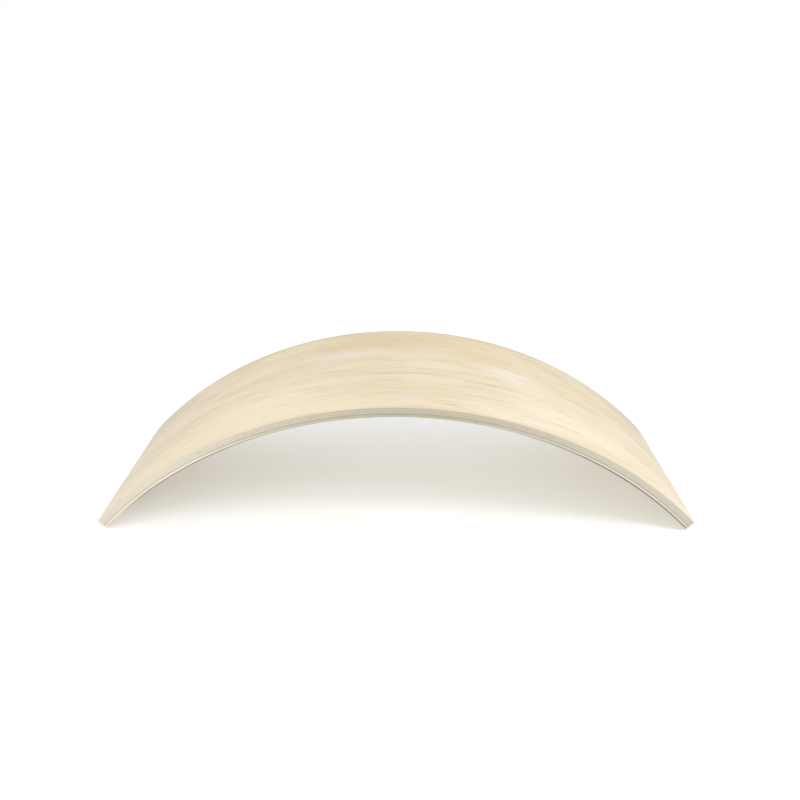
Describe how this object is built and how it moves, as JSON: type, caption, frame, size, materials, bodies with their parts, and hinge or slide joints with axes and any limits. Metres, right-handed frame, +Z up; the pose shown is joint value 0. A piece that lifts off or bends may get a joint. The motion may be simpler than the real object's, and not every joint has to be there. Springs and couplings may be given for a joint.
{
  "type": "wobble board",
  "caption": "Arched balance board for children: one moulded sheet of glued wood veneers with rounded corners and eased edges, standing on its two ends.",
  "frame": {"origin": "centre of the board on the ground that its two ends stand on", "axes": "+X along the board, +Y across its width, +Z up from the ground to the crown of the arch"},
  "size_m": [0.8284, 0.3, 0.1887],
  "materials": {
    "face_veneer": "clear satin lacquer, grain lengthwise",
    "long_veneer": "sanded edge, side grain, clear lacquer",
    "cross_veneer": "sanded edge, end grain, clear lacquer"
  },
  "bodies": {
    "root": {"top_face_veneer": "face_veneer", "cross_veneer_2": "cross_veneer", "long_veneer_3": "long_veneer", "cross_veneer_4": "cross_veneer", "long_veneer_5": "long_veneer", "cross_veneer_6": "cross_veneer", "long_veneer_7": "long_veneer", "cross_veneer_8": "cross_veneer", "bottom_face_veneer": "face_veneer"}
  },
  "joints": []
}
